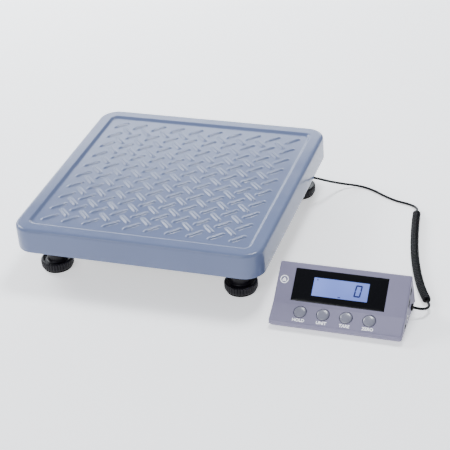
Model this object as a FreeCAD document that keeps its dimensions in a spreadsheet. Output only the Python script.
"""Platform shipping scale with a separate desk display on a curly cord.

Frame: +Z up, floor at Z = 0, origin under the middle of platform and display together.
The platform's edges and the display's edges run along X and Y, and the display's front faces -Y.
Everything is in millimetres.
"""
import FreeCAD, Part
import math
import os
import Sketcher

os.makedirs("parts", exist_ok=True)
doc = FreeCAD.newDocument("shipping_scale")
Vector = FreeCAD.Vector
X_AXIS = Vector(1, 0, 0)
Y_AXIS = Vector(0, 1, 0)
Z_AXIS = Vector(0, 0, 1)

# ---------------------------------------------------------------- driving dimensions

DRIVING = {
    # where the two units stand
    "platform_x": -80.75, "platform_y": 12.75, "display_x": 157.25, "display_y": -162.75,
    # weighing pan
    "pan_width": 300.0, "pan_top": 71.0, "skirt_height": 31.0, "sheet": 1.5, "pan_corner": 23.0,
    "rim_width": 16.0, "panel_depth": 2.5, "panel_corner": 7.0, "pan_edge": 3.5,
    "tread_pitch": 25.4, "tread_count": 10.0, "bar_length": 19.0, "bar_width": 4.6, "bar_height": 1.2,
    # chassis
    "tray_length": 272.0, "tray_depth": 250.0, "tray_bottom": 32.0, "tray_wall": 2.0, "tray_height": 14.0,
    "tray_corner": 14.0,
    # levelling feet
    "foot_x_front": 114.0, "foot_y_front": 112.5, "foot_x_rear": 124.0, "foot_y_rear": 106.0,
    "knob_radius": 19.5, "knob_height": 9.5, "hub_radius": 11.0, "hub_top": 22.0, "sole_thick": 2.7,
    "sole_radius": 17.5, "sole_gap": 0.3, "stud_radius": 4.0, "stud_top": 50.0, "knurl_count": 36.0,
    "knurl_radius": 1.1, "nut_flats": 13.0, "nut_height": 8.0, "running": 0.05,
    # load path
    "cell_length": 130.0, "cell_width": 30.0, "cell_height": 22.0, "spacer_thick": 2.5,
    "cell_bolt_x": 50.0, "cell_bolt_gap": 15.0, "bolt_radius": 3.0, "spider_thick": 3.0, "arm_width": 30.0,
    "arm_reach": 130.0, "rib_depth": 9.0, "rib_start": 46.0, "pad_radius": 10.0, "stop_reach": 80.0,
    "stop_gap": 0.8,
    # display housing
    "housing_width": 147.0, "wall": 2.5, "part_line": 5.5, "lip_height": 10.0, "key_slope": 26.0,
    "key_face": 22.5, "screen_slope": 38.0, "screen_face": 49.0, "back_foot_y": 75.5, "underside": 1.2,
    "floor_thick": 2.0, "tuck_in": 3.0, "housing_edge": 1.8,
    # window and what lies behind it
    "window_x": -2.4, "window_width": 104.0, "window_height": 37.8, "window_start": 4.0,
    "window_thick": 1.2, "window_gap": 0.15, "frame_lip": 3.0,
    "lcd_width": 78.0, "lcd_height": 34.0, "lcd_thick": 2.6, "backlight_thick": 3.1,
    "board_width": 112.0, "board_height": 36.0, "board_start": 4.0, "board_thick": 1.6,
    # keys
    "key_radius": 6.9, "key_gap": 0.55, "key_pitch": 25.5, "key_first_x": -40.7, "key_rise": 14.0,
    "key_proud": 1.0, "key_travel": 1.0,
    # battery bay
    "door_width": 108.0, "door_start": 38.0, "door_gap": 0.35, "cell_radius": 7.1, "aa_length": 50.5,
    # sockets in the right side
    "socket_width": 10.0, "socket_height": 7.0, "socket_depth": 11.0,
    # cord
    "wire": 3.0, "curl": 10.0, "inner_wire": 3.5,
}

sheet = doc.addObject("Spreadsheet::Sheet", "Dimensions")
for row, (alias, number) in enumerate(DRIVING.items(), start=1):
    sheet.set("A%d" % row, str(number))
    sheet.setAlias("A%d" % row, alias)
doc.recompute()


class Size:
    """A number together with the spreadsheet expression that gives it."""

    def __init__(self, number, text):
        self.number = float(number)
        self.text = text

    def __add__(self, other):
        return Size(self.number + num(other), "(%s + %s)" % (self.text, words(other)))

    def __radd__(self, other):
        return Size(num(other) + self.number, "(%s + %s)" % (words(other), self.text))

    def __sub__(self, other):
        return Size(self.number - num(other), "(%s - %s)" % (self.text, words(other)))

    def __rsub__(self, other):
        return Size(num(other) - self.number, "(%s - %s)" % (words(other), self.text))

    def __mul__(self, other):
        return Size(self.number * num(other), "(%s * %s)" % (self.text, words(other)))

    __rmul__ = __mul__

    def __truediv__(self, other):
        return Size(self.number / num(other), "(%s / %s)" % (self.text, words(other)))

    def __neg__(self):
        return Size(-self.number, "(0 - %s)" % self.text)


def num(value):
    """The plain number of a Size or of a number."""
    return value.number if isinstance(value, Size) else float(value)


def words(value):
    """The expression text of a Size or of a number."""
    return value.text if isinstance(value, Size) else "(%.6f)" % value


def dim(alias):
    """A driving dimension, tied to its cell."""
    return Size(sheet.get(alias), "Dimensions." + alias)


def sin_of(angle):
    return Size(math.sin(math.radians(num(angle))), "sin(%s)" % words(angle))


def cos_of(angle):
    return Size(math.cos(math.radians(num(angle))), "cos(%s)" % words(angle))


def bind(thing, prop, value):
    """Set a property from a Size, by expression, or from a plain number."""
    if isinstance(value, Size):
        thing.setExpression(prop, value.text)
    else:
        setattr(thing, prop, value)


PLATFORM = (dim("platform_x"), dim("platform_y"))
DISPLAY = (dim("display_x"), dim("display_y"))
nodes = {}


def node(label, thing):
    """Register a finished sub-part under its node name."""
    thing.Label = label
    nodes[label] = thing
    return thing


def place(thing, at, turn=None, home=None):
    """Put an object at a point of its unit's frame, turned if asked."""
    x, y, z = at
    if home:
        x = home[0] + x
        y = home[1] + y
    rotation = turn or FreeCAD.Rotation()
    thing.Placement = FreeCAD.Placement(Vector(num(x), num(y), num(z)), rotation)
    for letter, value in zip("xyz", (x, y, z)):
        if isinstance(value, Size):
            thing.setExpression("Placement.Base." + letter, value.text)


# ---------------------------------------------------------------- primitives and booleans

def box(name, size, at, turn=None, home=None):
    """A block; `at` is its lowest corner."""
    thing = doc.addObject("Part::Box", name)
    for prop, value in zip(("Length", "Width", "Height"), size):
        bind(thing, prop, value)
    place(thing, at, turn, home)
    return thing


def rod(name, radius, height, at, turn=None, home=None):
    """A cylinder that stands on `at` along its own Z."""
    thing = doc.addObject("Part::Cylinder", name)
    bind(thing, "Radius", radius)
    bind(thing, "Height", height)
    place(thing, at, turn, home)
    return thing


def hexagon(name, flats, height, at):
    """A six-sided prism, given across its flats."""
    thing = doc.addObject("Part::Prism", name)
    thing.Polygon = 6
    bind(thing, "Circumradius", flats / math.sqrt(3))
    bind(thing, "Height", height)
    place(thing, at)
    return thing


def cut(name, base, tool, home=None):
    thing = doc.addObject("Part::Cut", name)
    thing.Base = base
    thing.Tool = tool
    if home:
        place(thing, (0, 0, 0), home=home)
    return thing


def fuse(name, parts, home=None):
    thing = doc.addObject("Part::MultiFuse", name)
    thing.Shapes = parts
    if home:
        place(thing, (0, 0, 0), home=home)
    return thing


def group(name, parts, home=None):
    """Separate solids that share one node."""
    thing = doc.addObject("Part::Compound", name)
    thing.Links = parts
    if home:
        place(thing, (0, 0, 0), home=home)
    return thing


# ---------------------------------------------------------------- sketches and features

def new_body(name, at=(0, 0, 0), turn=None, home=None):
    body = doc.addObject("PartDesign::Body", name)
    place(body, at, turn, home)
    return body


def origin_feature(body, role):
    return [feature for feature in body.Origin.OriginFeatures if feature.Role == role][0]


def new_sketch(body, name, role="XY_Plane", offset=0):
    """A sketch on one of the body's own origin planes, moved along its normal."""
    sketch = body.newObject("Sketcher::SketchObject", name)
    sketch.AttachmentSupport = [(origin_feature(body, role), "")]
    sketch.MapMode = "FlatFace"
    if num(offset):
        sketch.AttachmentOffset = FreeCAD.Placement(Vector(0, 0, num(offset)), FreeCAD.Rotation())
        if isinstance(offset, Size):
            sketch.setExpression("AttachmentOffset.Base.z", offset.text)
    return sketch


def pin_point(sketch, geometry, end, x, y):
    """Fix a sketch point at x, y, with each distance bound to its Size."""
    for kind, axis, value in (("DistanceX", -2, x), ("DistanceY", -1, y)):
        if abs(num(value)) < 1e-9:
            sketch.addConstraint(Sketcher.Constraint("PointOnObject", geometry, end, axis))
            continue
        index = sketch.addConstraint(Sketcher.Constraint(kind, -1, 1, geometry, end, num(value)))
        if isinstance(value, Size):
            name = "%s_%d_%d" % (kind, geometry, end)
            sketch.renameConstraint(index, name)
            sketch.setExpression("Constraints." + name, value.text)


def draw_polygon(sketch, points):
    """A closed outline of straight lines through the points."""
    first = sketch.GeometryCount
    count = len(points)
    for index, (x, y) in enumerate(points):
        next_x, next_y = points[(index + 1) % count]
        start = Vector(num(x), num(y), 0)
        end = Vector(num(next_x), num(next_y), 0)
        sketch.addGeometry(Part.LineSegment(start, end), False)
    for index, (x, y) in enumerate(points):
        before = first + (index - 1) % count
        sketch.addConstraint(Sketcher.Constraint("Coincident", before, 2, first + index, 1))
        pin_point(sketch, first + index, 1, x, y)


def draw_rectangle(sketch, low, high):
    (x0, y0), (x1, y1) = low, high
    draw_polygon(sketch, [(x0, y0), (x1, y0), (x1, y1), (x0, y1)])


def draw_circle(sketch, x, y, radius):
    circle = Part.Circle(Vector(num(x), num(y), 0), Z_AXIS, num(radius))
    index = sketch.addGeometry(circle, False)
    pin_point(sketch, index, 3, x, y)
    constraint = sketch.addConstraint(Sketcher.Constraint("Radius", index, num(radius)))
    if isinstance(radius, Size):
        name = "Radius_%d" % index
        sketch.renameConstraint(constraint, name)
        sketch.setExpression("Constraints." + name, radius.text)


def extrude(body, kind, name, sketch, length, up=True, both_ways=False, taper=None):
    """A Pad or Pocket of a sketch. A pad goes along the sketch's normal when `up` is true."""
    feature = body.newObject("PartDesign::" + kind, name)
    feature.Profile = sketch
    bind(feature, "Length", length)
    feature.Reversed = (not up) if kind == "Pad" else up
    if both_ways:
        feature.Midplane = True
    if taper is not None:
        bind(feature, "TaperAngle", taper)
    sketch.Visibility = False
    doc.recompute()
    return feature


def round_edges(body, name, radius, chosen):
    """Fillet the edges of the body's tip for which chosen(edge) is true."""
    base = body.Tip
    names = ["Edge%d" % (i + 1) for i, edge in enumerate(base.Shape.Edges) if chosen(edge)]
    fillet = body.newObject("PartDesign::Fillet", name)
    fillet.Base = (base, names)
    bind(fillet, "Radius", radius)
    doc.recompute()
    return fillet


def is_upright(edge):
    low, high = edge.BoundBox.ZMin, edge.BoundBox.ZMax
    return edge.BoundBox.XLength < 1e-6 and edge.BoundBox.YLength < 1e-6 and high - low > 1e-3


def is_corner(edge, half_x, half_y=None):
    """True for an upright edge at the corners of a centred rectangle."""
    across = num(half_x)
    deep = across if half_y is None else num(half_y)
    box_ = edge.BoundBox
    return is_upright(edge) and abs(abs(box_.XMin) - across) < 1e-3 and abs(abs(box_.YMin) - deep) < 1e-3


def is_inside(edge, half):
    limit = num(half) + 1e-3
    return max(abs(edge.BoundBox.XMin), abs(edge.BoundBox.XMax), abs(edge.BoundBox.YMax)) < limit


def is_level_at(edge, height):
    return abs(edge.BoundBox.ZMin - num(height)) < 1e-4 and abs(edge.BoundBox.ZMax - num(height)) < 1e-4


def drill(body, name, radius, height, at, turn=None):
    """Cut a round hole with a cylinder that stands on `at`."""
    tool = body.newObject("PartDesign::SubtractiveCylinder", name)
    bind(tool, "Radius", radius)
    bind(tool, "Height", height)
    place(tool, at, turn)
    doc.recompute()
    return tool


def carve(body, name, size, at, turn=None):
    """Cut a block out of the body; `at` is the block's lowest corner."""
    tool = body.newObject("PartDesign::SubtractiveBox", name)
    for prop, value in zip(("Length", "Width", "Height"), size):
        bind(tool, prop, value)
    place(tool, at, turn)
    doc.recompute()
    return tool


def boss(body, name, radius, height, at, turn=None):
    """Add a round pillar that stands on `at`."""
    pillar = body.newObject("PartDesign::AdditiveCylinder", name)
    bind(pillar, "Radius", radius)
    bind(pillar, "Height", height)
    place(pillar, at, turn)
    doc.recompute()
    return pillar


def centred(half_x, half_y):
    return (-half_x, -half_y), (half_x, half_y)


# ---------------------------------------------------------------- weighing pan

def make_pan():
    """A pressed cover: skirt, flat rim and a sunk panel with raised tread bars."""
    half = dim("pan_width") / 2
    top = dim("pan_top")
    inner = half - dim("sheet")
    panel = half - dim("rim_width")
    panel_top = top - dim("panel_depth")
    body = new_body("WeighingPan", home=PLATFORM)

    foot = top - dim("skirt_height")
    outline = new_sketch(body, "PanOutline", offset=foot)
    draw_rectangle(outline, *centred(half, half))
    extrude(body, "Pad", "PanBlock", outline, dim("skirt_height"))
    hollow = new_sketch(body, "PanHollow", offset=foot)
    draw_rectangle(hollow, *centred(inner, inner))
    extrude(body, "Pocket", "PanInside", hollow, dim("skirt_height") - dim("sheet"))
    round_edges(body, "PanInsideCorners", dim("pan_corner") - dim("sheet"), lambda edge: is_corner(edge, inner))
    round_edges(body, "PanCorners", dim("pan_corner"), lambda edge: is_corner(edge, half))
    round_edges(body, "PanEdge", dim("pan_edge"),
                lambda edge: is_level_at(edge, top) and not is_inside(edge, inner))

    raised = new_sketch(body, "PanelUnderside", offset=panel_top - dim("sheet"))
    draw_rectangle(raised, *centred(panel + dim("sheet"), panel + dim("sheet")))
    extrude(body, "Pad", "PanelStep", raised, dim("panel_depth"))
    sunk = new_sketch(body, "PanelOutline", offset=top)
    draw_rectangle(sunk, *centred(panel, panel))
    extrude(body, "Pocket", "SunkPanel", sunk, dim("panel_depth"), up=False)
    round_edges(body, "PanelCorners", dim("panel_corner"), lambda edge: is_corner(edge, panel))
    round_edges(body, "PanelStepCorners", dim("panel_corner") + dim("sheet"),
                lambda edge: is_corner(edge, panel + dim("sheet")))

    # one bar of each direction, rooted in the panel and repeated over its own square lattice
    root = 0.4
    for name, turn, count in (("Forward", 45, dim("tread_count")), ("Backward", -45, dim("tread_count") - 1)):
        span = dim("tread_pitch") * (count - 1)
        bar = body.newObject("PartDesign::AdditiveBox", name + "Bar")
        bind(bar, "Length", dim("bar_length"))
        bind(bar, "Width", dim("bar_width"))
        bind(bar, "Height", dim("bar_height") + root)
        along = Vector(math.cos(math.radians(turn)), math.sin(math.radians(turn)), 0)
        across = Vector(-along.y, along.x, 0)
        back = along * (num(dim("bar_length")) / 2) + across * (num(dim("bar_width")) / 2)
        corner = (-span / 2 - back.x, -span / 2 - back.y, panel_top - root)
        place(bar, corner, FreeCAD.Rotation(Z_AXIS, turn))
        doc.recompute()
        field = body.newObject("PartDesign::MultiTransform", name + "Field")
        field.Originals = [bar]
        rows = []
        for letter, role in (("X", "X_Axis"), ("Y", "Y_Axis")):
            pattern = body.newObject("PartDesign::LinearPattern", name + "Rows" + letter)
            pattern.Direction = (origin_feature(body, role), [""])
            bind(pattern, "Length", span)
            pattern.Occurrences = int(num(count))
            rows.append(pattern)
        field.Transformations = rows
        body.Tip = field
        doc.recompute()
    return node("weighing_pan", body)


# ---------------------------------------------------------------- chassis

def corners(x, y):
    """The four corner points, front left first."""
    return [(-x, -y), (x, -y), (-x, y), (x, y)]


def foot_spots():
    """The levelling feet; the rear pair stands wider apart than the front pair."""
    front = (dim("foot_x_front"), dim("foot_y_front"))
    rear = (dim("foot_x_rear"), dim("foot_y_rear"))
    return [(-front[0], -front[1]), (front[0], -front[1]), (-rear[0], rear[1]), (rear[0], rear[1])]


CORNER_NAMES = ("front_left", "front_right", "rear_left", "rear_right")
GLAND_Y = 84.0
GLAND_Z = 38.0
GLAND_NOSE = 6.0


def make_tray():
    """A pressed steel chassis tray with holes for the studs, cell bolts, stops and cord gland."""
    bottom = dim("tray_bottom")
    wall = dim("tray_wall")
    half_x = dim("tray_length") / 2
    half_y = dim("tray_depth") / 2
    body = new_body("BaseTray", home=PLATFORM)
    outline = new_sketch(body, "TrayOutline", offset=bottom)
    draw_rectangle(outline, *centred(half_x, half_y))
    extrude(body, "Pad", "TrayBlock", outline, dim("tray_height"))
    hollow = new_sketch(body, "TrayHollow", offset=bottom + dim("tray_height"))
    draw_rectangle(hollow, *centred(half_x - wall, half_y - wall))
    extrude(body, "Pocket", "TrayInside", hollow, dim("tray_height") - wall, up=False)
    round_edges(body, "TrayInsideCorners", dim("tray_corner") - wall,
                lambda edge: is_corner(edge, half_x - wall, half_y - wall))
    round_edges(body, "TrayCorners", dim("tray_corner"), lambda edge: is_corner(edge, half_x, half_y))

    holes = new_sketch(body, "TrayHoles", offset=bottom)
    for x, y in foot_spots():
        draw_circle(holes, x, y, dim("stud_radius") + 0.5)
    for x, y in corners(dim("stop_reach"), dim("stop_reach")):
        draw_circle(holes, x, y, dim("bolt_radius") + 0.05)
    for side in (-1, 1):
        draw_circle(holes, side * dim("cell_bolt_gap") / 2 - dim("cell_bolt_x"), 0, dim("bolt_radius") + 0.3)
    extrude(body, "Pocket", "TrayDrilling", holes, wall)
    drill(body, "GlandHole", 4.1, 10, (half_x - 6, GLAND_Y, GLAND_Z), FreeCAD.Rotation(Y_AXIS, 90))
    return node("base_tray", body)


def make_feet():
    """Levelling feet: rubber sole, knurled knob with a hub, and the threaded stud moulded into it."""
    sole_thick = dim("sole_thick")
    knob_bottom = sole_thick + dim("sole_gap")
    post = 3.0
    for label, (x, y) in zip(CORNER_NAMES, foot_spots()):
        disc = rod("SoleDisc_" + label, dim("sole_radius"), sole_thick, (x, y, 0))
        peg = rod("SolePeg_" + label, dim("stud_radius"), post, (x, y, sole_thick))
        node("foot_sole_" + label, fuse("Sole_" + label, [disc, peg], home=PLATFORM))

        body = new_body("Knob_" + label, at=(x, y, knob_bottom), home=PLATFORM)
        rim = new_sketch(body, "KnobRim_" + label)
        draw_circle(rim, 0, 0, dim("knob_radius"))
        extrude(body, "Pad", "KnobDisc_" + label, rim, dim("knob_height"))
        round_edges(body, "KnobEdge_" + label, 0.8, lambda edge: edge.BoundBox.XLength > 10)
        notch = new_sketch(body, "Notch_" + label)
        draw_circle(notch, dim("knob_radius") + 0.35, 0, dim("knurl_radius"))
        pocket = extrude(body, "Pocket", "KnurlNotch_" + label, notch, dim("knob_height"))
        knurl = body.newObject("PartDesign::PolarPattern", "Knurl_" + label)
        knurl.Originals = [pocket]
        knurl.Axis = (origin_feature(body, "Z_Axis"), [""])
        knurl.Angle = 360
        knurl.Occurrences = int(DRIVING["knurl_count"])
        body.Tip = knurl
        doc.recompute()
        boss(body, "KnobHub_" + label, dim("hub_radius"), dim("hub_top") - knob_bottom, (0, 0, 0))
        drill(body, "SwivelHole_" + label, dim("stud_radius") + dim("running"), post + 0.5, (0, 0, 0))
        drill(body, "StudHole_" + label, dim("stud_radius") + 0.02, dim("hub_top"), (0, 0, post + 0.5))
        node("foot_knob_" + label, body)

        foot_of_stud = knob_bottom + post + 0.5
        shank = rod("Stud_" + label, dim("stud_radius"), dim("stud_top") - foot_of_stud,
                    (x, y, foot_of_stud), home=PLATFORM)
        node("foot_stud_" + label, shank)

    nuts = []
    floor_top = dim("tray_bottom") + dim("tray_wall")
    for label, (x, y) in zip(CORNER_NAMES, foot_spots()):
        blank = hexagon("NutBlank_" + label, dim("nut_flats"), dim("nut_height"), (x, y, floor_top))
        thread = rod("NutThread_" + label, dim("stud_radius") + dim("running"), 20, (x, y, floor_top - 5))
        nuts.append(cut("Nut_" + label, blank, thread))
    node("foot_nuts", group("FootNuts", nuts, home=PLATFORM))


def make_stops():
    """Overload stops: set screws that stand just under the spider's arms, each with a lock nut."""
    floor_top = dim("tray_bottom") + dim("tray_wall")
    arm_under = spider_bottom()
    tip = arm_under - dim("stop_gap")
    screws = []
    nuts = []
    for label, (x, y) in zip(CORNER_NAMES, corners(dim("stop_reach"), dim("stop_reach"))):
        start = dim("tray_bottom") - 2
        screws.append(rod("StopScrew_" + label, dim("bolt_radius"), tip - start, (x, y, start)))
        blank = hexagon("StopBlank_" + label, dim("bolt_radius") * 10 / 3, 5, (x, y, floor_top))
        thread = rod("StopThread_" + label, dim("bolt_radius") + 0.03, 12, (x, y, floor_top - 3))
        nuts.append(cut("StopNut_" + label, blank, thread))
    node("overload_stop_screws", group("StopScrews", screws, home=PLATFORM))
    node("overload_stop_nuts", group("StopNuts", nuts, home=PLATFORM))


def cell_bottom():
    return dim("tray_bottom") + dim("tray_wall") + dim("spacer_thick")


def spider_bottom():
    return cell_bottom() + dim("cell_height") + dim("spacer_thick")


def make_load_path():
    """Single-point load cell with its spacers and bolts."""
    bottom = cell_bottom()
    half_length = dim("cell_length") / 2
    half_width = dim("cell_width") / 2
    body = new_body("LoadCell", at=(0, 0, bottom), home=PLATFORM)
    outline = new_sketch(body, "CellOutline")
    draw_rectangle(outline, *centred(half_length, half_width))
    extrude(body, "Pad", "CellBar", outline, dim("cell_height"))
    # the binocular hole that makes the bar bend in two thin places above and two below
    lobe = 7.5
    middle = dim("cell_height") / 2
    lobes = new_sketch(body, "CellLobes", role="XZ_Plane")
    for side in (-1, 1):
        draw_circle(lobes, side * 17.0, middle, lobe)
    hole = extrude(body, "Pocket", "CellHoles", lobes, dim("cell_width"), both_ways=True)
    slot = new_sketch(body, "CellSlot", role="XZ_Plane")
    draw_rectangle(slot, (-17, middle - 2), (17, middle + 2))
    hole = extrude(body, "Pocket", "CellWaist", slot, dim("cell_width"), both_ways=True)
    threads = new_sketch(body, "CellThreads")
    for end in (-1, 1):
        for side in (-1, 1):
            x = end * dim("cell_bolt_x") + side * dim("cell_bolt_gap") / 2
            draw_circle(threads, x, 0, dim("bolt_radius") + 0.03)
    extrude(body, "Pocket", "CellTapping", threads, dim("cell_height"))
    node("load_cell", body)

    spacer_length = 30.0
    left = -dim("cell_bolt_x") - spacer_length / 2
    right = dim("cell_bolt_x") - spacer_length / 2
    spacer_sizes = (spacer_length, dim("cell_width"), dim("spacer_thick"))
    for label, x, z, direction in (("lower_spacer", left, bottom - dim("spacer_thick"), -1),
                                   ("upper_spacer", right, bottom + dim("cell_height"), 1)):
        plate = box(label + "_plate", spacer_sizes, (x, -half_width, z))
        holes = []
        for side in (-1, 1):
            bolt_x = direction * dim("cell_bolt_x") + side * dim("cell_bolt_gap") / 2
            holes.append(rod("%s_hole_%d" % (label, side + 1), dim("bolt_radius") + 0.3, 10, (bolt_x, 0, z - 3)))
        node(label, cut(label + "_drilled", plate, fuse(label + "_holes", holes), home=PLATFORM))

    grip = 10.0
    head = 4.0
    base_screws = []
    spider_screws = []
    for side in (-1, 1):
        x = side * dim("cell_bolt_gap") / 2
        under = dim("tray_bottom")
        shank = rod("BaseShank_%d" % side, dim("bolt_radius"), bottom + grip - under + head,
                    (x - dim("cell_bolt_x"), 0, under - head))
        cap = rod("BaseHead_%d" % side, 5, head, (x - dim("cell_bolt_x"), 0, under - head))
        base_screws.append(fuse("BaseScrew_%d" % side, [shank, cap]))
        spider_top = spider_bottom() + dim("spider_thick")
        low = bottom + dim("cell_height") - grip
        shank = rod("SpiderShank_%d" % side, dim("bolt_radius"), spider_top - low - 0.3,
                    (x + dim("cell_bolt_x"), 0, low))
        cone = doc.addObject("Part::Cone", "SpiderHead_%d" % side)
        bind(cone, "Radius1", dim("bolt_radius"))
        bind(cone, "Radius2", dim("bolt_radius") * 2)
        bind(cone, "Height", dim("spider_thick") - 0.3)
        place(cone, (x + dim("cell_bolt_x"), 0, spider_bottom()))
        spider_screws.append(fuse("SpiderScrew_%d" % side, [shank, cone]))
    node("base_screws", group("BaseScrews", base_screws, home=PLATFORM))
    node("spider_screws", group("SpiderScrews", spider_screws, home=PLATFORM))


def make_spider():
    """Four-armed carrier: a flat hub plate and four channel arms with ribs turned down."""
    thick = dim("spider_thick")
    rib = dim("rib_depth")
    half_arm = dim("arm_width") / 2
    body = new_body("SpiderFrame", at=(0, 0, spider_bottom()), home=PLATFORM)
    hub = new_sketch(body, "SpiderHub")
    draw_rectangle(hub, *centred(75, 30))
    extrude(body, "Pad", "SpiderPlate", hub, thick)
    for index, angle in enumerate((45, 135, 225, 315)):
        turn = FreeCAD.Rotation(Z_AXIS, angle)
        for part, size, corner in (
                ("Arm", (dim("arm_reach"), dim("arm_width"), thick), (0, -half_arm, 0)),
                ("RibLeft", (dim("arm_reach") - dim("rib_start"), 2, rib), (dim("rib_start"), -half_arm, -rib)),
                ("RibRight", (dim("arm_reach") - dim("rib_start"), 2, rib),
                 (dim("rib_start"), half_arm - 2, -rib))):
            bar = body.newObject("PartDesign::AdditiveBox", "%s%d" % (part, index))
            for prop, value in zip(("Length", "Width", "Height"), size):
                bind(bar, prop, value)
            corner_point = turn.multVec(Vector(*(num(value) for value in corner)))
            place(bar, tuple(corner_point), turn)
            doc.recompute()
    bolt_holes = new_sketch(body, "SpiderBoltHoles")
    for side in (-1, 1):
        draw_circle(bolt_holes, dim("cell_bolt_x") + side * dim("cell_bolt_gap") / 2, 0, dim("bolt_radius") + 0.3)
    extrude(body, "Pocket", "SpiderDrilling", bolt_holes, thick)
    for side in (-1, 1):
        sink = body.newObject("PartDesign::SubtractiveCone", "Countersink%d" % (side + 1))
        bind(sink, "Radius1", dim("bolt_radius") + 0.1)
        bind(sink, "Radius2", dim("bolt_radius") * 2 + 0.9)
        bind(sink, "Height", thick)
        place(sink, (dim("cell_bolt_x") + side * dim("cell_bolt_gap") / 2, 0, 0))
        doc.recompute()
    reach = (dim("arm_reach") - dim("pad_radius") - 4) * math.sqrt(0.5)
    pads = []
    peg_radius = 3.0
    for label, (x, y) in zip(CORNER_NAMES, corners(reach, reach)):
        drill(body, "PadHole_" + label, peg_radius + 0.02, 10, (x, y, -4))
        top = spider_bottom() + thick
        disc = rod("Pad_" + label, dim("pad_radius"), dim("pan_top") - dim("panel_depth") - dim("sheet") - top,
                   (x, y, top))
        peg = rod("Peg_" + label, peg_radius, thick, (x, y, spider_bottom()))
        pads.append(fuse("Bumper_" + label, [disc, peg]))
    node("spider_frame", body)
    node("pan_pads", group("PanPads", pads, home=PLATFORM))


# ---------------------------------------------------------------- display

def screen_point(x, along, out=0):
    """A point over the screen face: along its slope from the crease, and out of it."""
    slope = dim("screen_slope")
    y = dim("key_face") * cos_of(dim("key_slope")) + along * cos_of(slope) - out * sin_of(slope)
    z = dim("lip_height") + dim("key_face") * sin_of(dim("key_slope")) + along * sin_of(slope) + out * cos_of(slope)
    return (x, y, z)


def key_point(x, along, out=0):
    """A point over the key face: along its slope from the front lip, and out of it."""
    slope = dim("key_slope")
    y = along * cos_of(slope) - out * sin_of(slope)
    z = dim("lip_height") + along * sin_of(slope) + out * cos_of(slope)
    return (x, y, z)


SCREEN_TURN = FreeCAD.Rotation(X_AXIS, DRIVING["screen_slope"])
KEY_TURN = FreeCAD.Rotation(X_AXIS, DRIVING["key_slope"])
TO_RIGHT = FreeCAD.Rotation(Y_AXIS, 90)
FRONT_SCREW_Y = 9.0
REAR_SCREW_Y = 66.5
SCREW_X = 66.5
GROMMET_Y = 52.8
GROMMET_Z = 12.0
SIGNAL_Y = 32.0
SIGNAL_Z = 12.5
POWER_Y = 19.0
POWER_Z = 10.0
SOCKET_ALONG = (20.0, 33.0)
SOCKET_OUT = -8.0
BOARD_SCREW_X = (-55.5, 50.7)
BOARD_SCREW_ALONG = (7.0, 37.0)


def housing_profile():
    """Side outline of the upper shell: front lip, key face, screen face, sloping back."""
    crease = key_point(0, dim("key_face"))
    ridge = screen_point(0, dim("screen_face"))
    part_line = dim("part_line")
    return [(0, part_line), (0, dim("lip_height")), crease[1:], ridge[1:], (dim("back_foot_y"), part_line)]


def cavity_profile():
    """The inside of the upper shell, one wall thickness in from its outline."""
    wall = dim("wall")
    part_line = dim("part_line")
    key_slope = dim("key_slope")
    lip_inside = dim("lip_height") + wall * (sin_of(key_slope) - 1) / cos_of(key_slope)
    between = (key_slope + dim("screen_slope")) / 2
    spread = (dim("screen_slope") - key_slope) / 2
    crease = key_point(0, dim("key_face"))
    step = wall / cos_of(spread)
    crease_inside = (crease[1] + step * sin_of(between), crease[2] - step * cos_of(between))
    # the ridge's inside angle is about 73 degrees and the back leans by about 69
    ridge_inside = screen_point(0, dim("screen_face") - wall * 1.35, -wall)
    return [(wall, part_line), (wall, lip_inside), crease_inside, ridge_inside[1:],
            (dim("back_foot_y") - wall * 1.075, part_line)]


def button_spots():
    return [dim("key_first_x") + dim("key_pitch") * index for index in range(4)]


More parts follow.
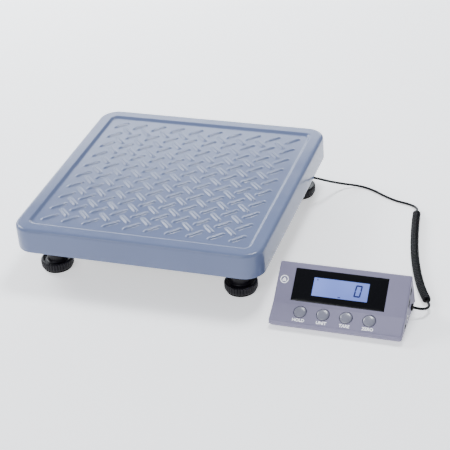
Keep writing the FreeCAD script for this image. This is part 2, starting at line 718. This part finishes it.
def make_top_shell():
    body = new_body("TopShell", home=DISPLAY)
    width = dim("housing_width")
    wall = dim("wall")
    profile = new_sketch(body, "ShellProfile", role="YZ_Plane")
    draw_polygon(profile, housing_profile())
    extrude(body, "Pad", "ShellBlock", profile, width, both_ways=True)
    part_line = num(dim("part_line"))
    hollow = new_sketch(body, "ShellCavity", role="YZ_Plane")
    draw_polygon(hollow, cavity_profile())
    extrude(body, "Pocket", "ShellHollow", hollow, width - wall * 2, both_ways=True)
    half = num(width) / 2
    round_edges(body, "ShellEdges", dim("housing_edge"), lambda edge: is_outer_shell_edge(edge, half, part_line))

    # window seat and the smaller opening under it
    half_window = dim("window_width") / 2
    start = dim("window_start")
    seat_depth = dim("window_thick") + 0.1
    carve(body, "WindowSeat", (dim("window_width"), dim("window_height"), 10),
          screen_point(dim("window_x") - half_window, start, -seat_depth), SCREEN_TURN)
    lip = dim("frame_lip")
    carve(body, "WindowOpening", (dim("window_width") - lip * 2, dim("window_height") - lip * 2, 20),
          screen_point(dim("window_x") - half_window + lip, start + lip, -wall - 1), SCREEN_TURN)
    for index, x in enumerate(button_spots()):
        drill(body, "KeyHole%d" % index, dim("key_radius") + dim("key_gap"), 12,
              key_point(x, dim("key_rise"), -wall - 3), KEY_TURN)
    # bosses for the housing screws and for the main board
    for side in (-1, 1):
        boss(body, "FrontBoss%d" % (side + 1), 3.2, 7, (side * SCREW_X, FRONT_SCREW_Y, dim("part_line")))
        boss(body, "RearBoss%d" % (side + 1), 3.2, 10, (side * SCREW_X, REAR_SCREW_Y, dim("part_line")))
        for y, depth in ((FRONT_SCREW_Y, 4.5), (REAR_SCREW_Y, 8)):
            drill(body, "BossHole%d_%d" % (side + 1, y), 1.33, depth, (side * SCREW_X, y, dim("part_line")))
    gap = lcd_back() - dim("backlight_thick") - 0.4
    for x in BOARD_SCREW_X:
        for along in BOARD_SCREW_ALONG:
            name = "BoardBoss_%d_%d" % (x, along)
            boss(body, name, 2.2, -(gap + wall) + 0.5, screen_point(x, along, gap), SCREEN_TURN)
            drill(body, name + "_hole", 1.0, 5, screen_point(x, along, gap), SCREEN_TURN)
    # cut-outs in the right-hand wall
    right = width / 2
    for index, along in enumerate(SOCKET_ALONG):
        size = (12, dim("socket_width") + 0.3, dim("socket_height") + 0.3)
        corner = screen_point(right - 6, along - size[1] / 2, SOCKET_OUT - size[2] / 2)
        carve(body, "SocketHole%d" % index, size, corner, SCREEN_TURN)
    for name, y, z, radius in (("GrommetHole", GROMMET_Y, GROMMET_Z, 3.1),
                               ("SignalHole", SIGNAL_Y, SIGNAL_Z, 3.1),
                               ("PowerHole", POWER_Y, POWER_Z, 3.8)):
        drill(body, name, radius, 10, (right - 6, y, z), TO_RIGHT)
    return node("display_top_shell", body)


def is_outer_shell_edge(edge, half, part_line):
    """Edges of the outer skin that do not lie on the parting plane."""
    box_ = edge.BoundBox
    if box_.ZMin < part_line + 1e-3 and box_.ZMax < part_line + 1e-3:
        return False
    outline = [(num(y), num(z)) for y, z in housing_profile()]
    ends = [vertex.Point for vertex in edge.Vertexes]
    on_outline = all(min(math.hypot(p.y - y, p.z - z) for y, z in outline) < 1e-3 for p in ends)
    return on_outline and all(abs(abs(p.x) - half) < 1e-3 for p in ends)


def make_bottom_shell():
    body = new_body("BottomShell", home=DISPLAY)
    half = dim("housing_width") / 2
    tuck = dim("tuck_in")
    bottom = dim("underside")
    part_line = dim("part_line")
    back = dim("back_foot_y")
    foot = body.newObject("PartDesign::AdditiveWedge", "BottomBlock")
    for prop, value in (("Xmin", -half), ("Xmax", half), ("Ymin", 0), ("Ymax", part_line - bottom),
                        ("Zmin", 0), ("Zmax", back), ("X2min", -half + tuck), ("X2max", half - tuck),
                        ("Z2min", tuck), ("Z2max", back - tuck)):
        bind(foot, prop, value)
    # the wedge narrows along its own Y, which is turned to point down
    place(foot, (0, 0, part_line), FreeCAD.Rotation(X_AXIS, -90))
    doc.recompute()
    return body, half, tuck, bottom, part_line, back


def finish_bottom_shell():
    """A shallow tray, tucked in towards the floor, with the battery opening at the back."""
    body, half, tuck, bottom, part_line, back = make_bottom_shell()
    wall = dim("wall")
    floor_top = bottom + dim("floor_thick")
    low = (-half + tuck + wall, tuck + wall)
    high = (half - tuck - wall, back - tuck - wall)
    hollow = new_sketch(body, "BottomHollow", offset=part_line)
    draw_rectangle(hollow, low, high)
    extrude(body, "Pocket", "BottomInside", hollow, part_line - floor_top, up=False)
    for side in (-1, 1):
        for y in (FRONT_SCREW_Y, REAR_SCREW_Y):
            name = "Pillar%d_%d" % (side + 1, y)
            boss(body, name, 3.2, part_line - bottom - 0.5, (side * SCREW_X, y, bottom + 0.5))
            drill(body, name + "_hole", 1.5, 8, (side * SCREW_X, y, bottom - 1))
            drill(body, name + "_sink", 2.8, 1.2, (side * SCREW_X, y, bottom))
    carve(body, "BatteryOpening", (dim("door_width"), 60, part_line - bottom + 2),
          (-dim("door_width") / 2, dim("door_start"), bottom - 1))
    node("display_bottom_shell", body)

    door = new_body("BatteryDoor", home=DISPLAY)
    outline = new_sketch(door, "DoorProfile", role="YZ_Plane")
    gap = dim("door_gap")
    rise = part_line - gap - bottom
    lean = tuck / (part_line - bottom)
    draw_polygon(outline, [
        (dim("door_start") + gap, bottom), (back - tuck, bottom), (back - tuck + rise * lean, part_line - gap),
        (back - tuck + rise * lean - wall, part_line - gap), (back - tuck - wall + 1, floor_top),
        (dim("door_start") + gap, floor_top)])
    extrude(door, "Pad", "DoorPlate", outline, dim("door_width") - gap * 2, both_ways=True)
    for index in range(4):
        carve(door, "GripGroove%d" % index, (30, 0.9, 0.5), (-15, 58 + 2.2 * index, bottom))
    node("battery_door", door)


def lcd_back():
    """How far the LCD's back lies out of the screen face (negative is inwards)."""
    return -(dim("wall") + 0.2 + dim("lcd_thick"))


def make_screen():
    half_window = dim("window_width") / 2
    gap = dim("window_gap")
    window = box("Window", (dim("window_width") - gap * 2, dim("window_height") - gap * 2, dim("window_thick")),
                 screen_point(dim("window_x") - half_window + gap, dim("window_start") + gap,
                              -dim("window_thick") - 0.1), SCREEN_TURN, DISPLAY)
    node("display_window", window)
    middle = dim("window_start") + dim("window_height") / 2
    lcd = box("LcdGlass", (dim("lcd_width"), dim("lcd_height"), dim("lcd_thick")),
              screen_point(dim("window_x") - dim("lcd_width") / 2, middle - dim("lcd_height") / 2, lcd_back()),
              SCREEN_TURN, DISPLAY)
    node("lcd_panel", lcd)
    light_back = lcd_back() - 0.2 - dim("backlight_thick")
    light = box("Backlight", (dim("lcd_width") - 6, dim("lcd_height") - 4, dim("backlight_thick")),
                screen_point(dim("window_x") - dim("lcd_width") / 2 + 3, middle - dim("lcd_height") / 2 + 2,
                             light_back), SCREEN_TURN, DISPLAY)
    node("lcd_backlight", light)

    board_back = light_back - 0.2 - dim("board_thick")
    left = dim("window_x") - dim("board_width") / 2
    plate = box("MainPlate", (dim("board_width"), dim("board_height"), dim("board_thick")),
                screen_point(left, dim("board_start"), board_back), SCREEN_TURN)
    holes = []
    screws = []
    for x in BOARD_SCREW_X:
        for along in BOARD_SCREW_ALONG:
            tag = "%d_%d" % (x, along)
            holes.append(rod("MainHole_" + tag, 1.1, 6, screen_point(x, along, board_back - 2), SCREEN_TURN))
            head = rod("BoardHead_" + tag, 1.8, 1.2, screen_point(x, along, board_back - 1.2), SCREEN_TURN)
            shank = rod("BoardShank_" + tag, 0.9, 5.5, screen_point(x, along, board_back - 1.2), SCREEN_TURN)
            screws.append(fuse("BoardScrew_" + tag, [head, shank]))
    node("main_board", cut("MainBoard", plate, fuse("MainHoles", holes), home=DISPLAY))
    node("board_screws", group("BoardScrews", screws, home=DISPLAY))
    buzzer = rod("Buzzer", 6, 5, screen_point(-38, 30, board_back - 5), SCREEN_TURN, DISPLAY)
    node("buzzer", buzzer)


BUTTON_NAMES = ("button_hold", "button_unit", "button_tare", "button_zero")


def make_keys():
    """Four caps with a flange behind the face, over four switches on their own board."""
    wall = dim("wall")
    flange_top = -wall - 0.25
    flange_thick = 1.0
    stem = 1.0
    for label, x in zip(BUTTON_NAMES, button_spots()):
        body = new_body(label + "_body", at=key_point(x, dim("key_rise")), turn=KEY_TURN, home=DISPLAY)
        outline = new_sketch(body, label + "_cap", offset=flange_top)
        draw_circle(outline, 0, 0, dim("key_radius"))
        extrude(body, "Pad", label + "_pad", outline, dim("key_proud") - flange_top)
        round_edges(body, label + "_edge", 0.7, lambda edge: is_level_at(edge, dim("key_proud")))
        boss(body, label + "_flange", dim("key_radius") + 1.4, flange_thick, (0, 0, flange_top - flange_thick))
        boss(body, label + "_stem", 2.0, stem + 0.2, (0, 0, flange_top - flange_thick - stem))
        node(label, body)
    switch_top = flange_top - flange_thick - stem - dim("key_travel") - 0.2
    switch_height = 2.2
    switches = []
    for index, x in enumerate(button_spots()):
        case = box("SwitchCase%d" % index, (6, 6, switch_height - 0.7),
                   key_point(x - 3, dim("key_rise") - 3, switch_top - switch_height), KEY_TURN)
        dome = rod("SwitchDome%d" % index, 1.6, switch_height, key_point(x, dim("key_rise"),
                   switch_top - switch_height), KEY_TURN)
        switches.append(fuse("Switch%d" % index, [case, dome]))
    node("tact_switches", group("TactSwitches", switches, home=DISPLAY))
    board_back = switch_top - switch_height - dim("board_thick")
    board = box("KeyPlate", (100, 13, dim("board_thick")), key_point(-52.4, dim("key_rise") - 6.5, board_back),
                KEY_TURN, DISPLAY)
    node("key_board", board)
    # flat cable from the key board's upper edge to the main board's lower edge
    main_back = lcd_back() - 0.4 - dim("backlight_thick") - dim("board_thick")
    start = key_point(0, dim("key_rise") + 6.8, board_back + 0.4)
    end = screen_point(0, dim("board_start") - 0.3, main_back + 0.4)
    strip = new_body("RibbonCable", at=(-20, 0, 0), home=DISPLAY)
    outline = new_sketch(strip, "RibbonProfile", role="YZ_Plane")
    draw_polygon(outline, [(start[1], start[2]), (end[1], end[2]), (end[1], end[2] + 0.35),
                           (start[1], start[2] + 0.35)])
    extrude(strip, "Pad", "RibbonStrip", outline, 14, both_ways=True)
    node("ribbon_cable", strip)


def make_sockets():
    """Two data sockets on their own board, a signal jack and a power jack in the right-hand side."""
    right = dim("housing_width") / 2
    depth = dim("socket_depth")
    shells = []
    for index, along in enumerate(SOCKET_ALONG):
        width = dim("socket_width")
        height = dim("socket_height")
        block = box("SocketBlock%d" % index, (depth, width, height),
                    screen_point(right - depth, along - width / 2, SOCKET_OUT - height / 2), SCREEN_TURN)
        mouth = box("SocketMouth%d" % index, (depth - 2, width - 2.4, height - 2.2),
                    screen_point(right - depth + 2.5, along - width / 2 + 1.2, SOCKET_OUT - height / 2 + 1),
                    SCREEN_TURN)
        shells.append(cut("Socket%d" % index, block, mouth))
    node("data_sockets", group("DataSockets", shells, home=DISPLAY))
    board = box("IoPlate", (dim("board_thick"), 25, 11.5),
                screen_point(right - depth - dim("board_thick") - 0.1, 13, SOCKET_OUT - 6.5),
                SCREEN_TURN, DISPLAY)
    node("io_board", board)
    for label, y, z, outer, hole, length in (("signal_jack", SIGNAL_Y, SIGNAL_Z, 3.0, 1.8, 12),
                                             ("power_jack", POWER_Y, POWER_Z, 3.7, 2.75, 10)):
        barrel = rod(label + "_barrel", outer, length, (right - length, y, z), TO_RIGHT)
        bore = rod(label + "_bore", hole, length, (right - length + 1.5, y, z), TO_RIGHT)
        shell = cut(label + "_shell", barrel, bore)
        pieces = [shell]
        if label == "power_jack":
            pieces.append(rod("power_pin", 1.0, length - 3, (right - length + 0.5, y, z), TO_RIGHT))
        node(label, fuse(label + "_whole", pieces, home=DISPLAY) if len(pieces) > 1
             else group(label + "_whole", pieces, home=DISPLAY))
    flange = rod("GrommetFlange", 4.0, 1.5, (right, GROMMET_Y, GROMMET_Z), TO_RIGHT)
    neck = rod("GrommetNeck", 3.0, 5, (right - 5, GROMMET_Y, GROMMET_Z), TO_RIGHT)
    node("cord_grommet", fuse("CordGrommet", [flange, neck], home=DISPLAY))


def make_battery_bay():
    """Four AA cells in two rows, with their contact plates."""
    radius = dim("cell_radius")
    length = dim("aa_length")
    height = dim("underside") + dim("floor_thick") + 0.3 + radius
    cells = []
    plates = []
    rows = (47.3, 62.0)
    for row, y in enumerate(rows):
        for column in (-1, 0):
            x = column * length + (0.1 if column == 0 else -0.1)
            can = rod("Cell_%d_%d" % (row, column + 1), radius, length - 1.2, (x, y, height), TO_RIGHT)
            cap = rod("CellCap_%d_%d" % (row, column + 1), 2.6, length, (x, y, height), TO_RIGHT)
            cells.append(fuse("BatteryCell_%d_%d" % (row, column + 1), [can, cap]))
        plates.append(box("ContactRight%d" % row, (0.5, 11, 10.5), (length + 0.7, y - 5.5, height - 5)))
    plates.append(box("ContactLeft", (0.5, 25.7, 10.5), (-length - 1.3, rows[0] - 5.5, height - 5)))
    node("battery_cells", group("BatteryCells", cells, home=DISPLAY))
    node("battery_contacts", group("BatteryContacts", plates, home=DISPLAY))


def make_display_fixings():
    screws = []
    bottom = dim("underside")
    for side in (-1, 1):
        for y, length in ((FRONT_SCREW_Y, 7.0), (REAR_SCREW_Y, 10.0)):
            tag = "%d_%d" % (side + 1, y)
            head = rod("HousingHead_" + tag, 2.5, 1.1, (side * SCREW_X, y, bottom + 0.05))
            shank = rod("HousingShank_" + tag, 1.3, length, (side * SCREW_X, y, bottom + 0.05))
            screws.append(fuse("HousingScrew_" + tag, [head, shank]))
    node("housing_screws", group("HousingScrews", screws, home=DISPLAY))
    pads = []
    for side in (-1, 1):
        for x, y in ((50, 9.5), (61.5, 52)):
            pads.append(rod("DisplayFoot_%d_%d" % (side + 1, y), 4, bottom, (side * x, y, 0)))
    node("display_feet", group("DisplayFeet", pads, home=DISPLAY))


# ---------------------------------------------------------------- cables

def tube(name, points, diameter):
    """A round tube along straight runs joined by tangent arcs; prints its radii and volume check."""
    points = [Vector(*point) for point in points]
    edges = []
    start = points[0]
    radii = []
    for before, corner, after in zip(points, points[1:], points[2:]):
        run_in = corner - before
        run_out = after - corner
        half_turn = run_in.getAngle(run_out) / 2
        radius = 0.45 * min(run_in.Length, run_out.Length) / math.tan(half_turn)
        reach = radius * math.tan(half_turn)
        one = corner - run_in.normalize() * reach
        two = corner + run_out.normalize() * reach
        bisector = (run_out - run_in).normalize()
        centre = corner + bisector * (radius / math.cos(half_turn))
        middle = centre - bisector * radius
        edges.append(Part.LineSegment(start, one).toShape())
        edges.append(Part.Arc(one, middle, two).toShape())
        start = two
        radii.append(radius)
    edges.append(Part.LineSegment(start, points[-1]).toShape())
    path = Part.Wire(edges)
    direction = points[1] - points[0]
    ring = Part.Wire([Part.Circle(points[0], direction, diameter / 2).toShape()])
    solid = Part.Wire(path).makePipeShell([ring], True, False)
    ideal = math.pi * diameter ** 2 / 4 * path.Length
    print("%s: length %.1f, radii %s, volume ratio %.4f" % (
        name, path.Length, " ".join("%.1f" % radius for radius in radii), solid.Volume / ideal))
    feature = doc.addObject("Part::Feature", name)
    feature.Shape = solid
    return feature


# points from the platform's gland to the curly stretch, in the platform's frame
LEAD_ROUTE = [(142.8, 84, 38), (151, 87.5, 35.5), (158.5, 99, 26.5), (166.5, 117, 14), (178, 131, 4.6),
              (195, 135.5, 1.6), (213, 128.5, 1.6), (230, 117, 1.6), (246, 108.5, 1.6), (259, 105.5, 1.6),
              (270, 101, 1.8), (276.2, 92.5, 3.4), (277.4, 82.4, 5.1)]
CURL_ROUTE = [(277.5, 82, 5.2), (280.5, 57, 5.2), (285.5, 27, 5.2), (291, -2, 5.2), (298, -30, 5.2),
              (306, -56, 5.2), (315, -80, 5.2), (324.6, -98.7, 5.2)]
TAIL_ROUTE = [(324.8, -99.1, 5.2), (329, -108, 5.6), (326.4, -117.2, 8), (320.3, -122, 10.4),
              (313.5, -122.7, 12)]
# load cell cable, from the cell's side to the gland
INNER_ROUTE = [(-50, 15.4, 42), (-50, 28, 41), (-46, 45, 36.2), (-25, 62, 36), (15, 66, 36), (62, 64, 36),
               (101, 69, 36.3), (117, 79.5, 37), (132.2, 84, 38)]


def make_cables():
    wire = DRIVING["wire"]
    for label, route, diameter in (("cord_lead_platform", LEAD_ROUTE, wire),
                                   ("cord_curl", CURL_ROUTE, DRIVING["curl"]),
                                   ("cord_lead_display", TAIL_ROUTE, wire),
                                   ("load_cell_cable", INNER_ROUTE, DRIVING["inner_wire"])):
        thing = tube(label, route, diameter)
        place(thing, (0, 0, 0), home=PLATFORM)
        node(label, thing)

    half_x = dim("tray_length") / 2
    body_rod = rod("GlandBody", 4.0, 5, (half_x - 3, GLAND_Y, GLAND_Z), TO_RIGHT)
    flange = rod("GlandFlange", 5.8, 2, (half_x, GLAND_Y, GLAND_Z), TO_RIGHT)
    nose = doc.addObject("Part::Cone", "GlandNose")
    nose.Radius1 = 3.8
    nose.Radius2 = 2.6
    nose.Height = GLAND_NOSE - 2
    place(nose, (half_x + 2, GLAND_Y, GLAND_Z), TO_RIGHT)
    node("cord_gland", fuse("CordGland", [body_rod, flange, nose], home=PLATFORM))

    # two saddles over the cable's longest run
    start = Vector(*INNER_ROUTE[4])
    end = Vector(*INNER_ROUTE[5])
    heading = math.degrees(math.atan2(end.y - start.y, end.x - start.x))
    turn = FreeCAD.Rotation(Z_AXIS, heading)
    floor_top = dim("tray_bottom") + dim("tray_wall")
    clips = []
    for index, share in enumerate((0.35, 0.65)):
        middle = start + (end - start) * share
        corner = middle - turn.multVec(Vector(3, 5, 0))
        block = box("ClipBlock%d" % index, (6, 10, 5), (corner.x, corner.y, floor_top), turn)
        gutter = box("ClipGutter%d" % index, (8, 3.9, 4.1),
                     tuple(middle - turn.multVec(Vector(4, 1.95, 0)))[:2] + (floor_top - 0.1,), turn)
        clips.append(cut("Clip%d" % index, block, gutter))
    node("cable_clips", group("CableClips", clips, home=PLATFORM))


# ---------------------------------------------------------------- build and export

make_pan()
make_tray()
make_feet()
make_stops()
make_load_path()
make_spider()
make_top_shell()
finish_bottom_shell()
make_screen()
make_keys()
make_sockets()
make_battery_bay()
make_display_fixings()
make_cables()
doc.recompute()

faults = ["%s %s" % (thing.Name, thing.State) for thing in doc.Objects
          if "Invalid" in thing.State or "Error" in thing.State]
if faults:
    raise RuntimeError("features in error: " + "; ".join(faults))
for label, thing in nodes.items():
    shape = thing.Shape
    if shape.isNull() or not shape.isValid() or not shape.Solids:
        raise RuntimeError("%s has no valid solid" % label)
    shape.exportStep("parts/%s.step" % label)
    bounds = shape.BoundBox
    print("%-24s solids %d  volume %9.1f  z %6.2f..%6.2f" % (
        label, len(shape.Solids), shape.Volume, bounds.ZMin, bounds.ZMax))
print("%d nodes" % len(nodes))
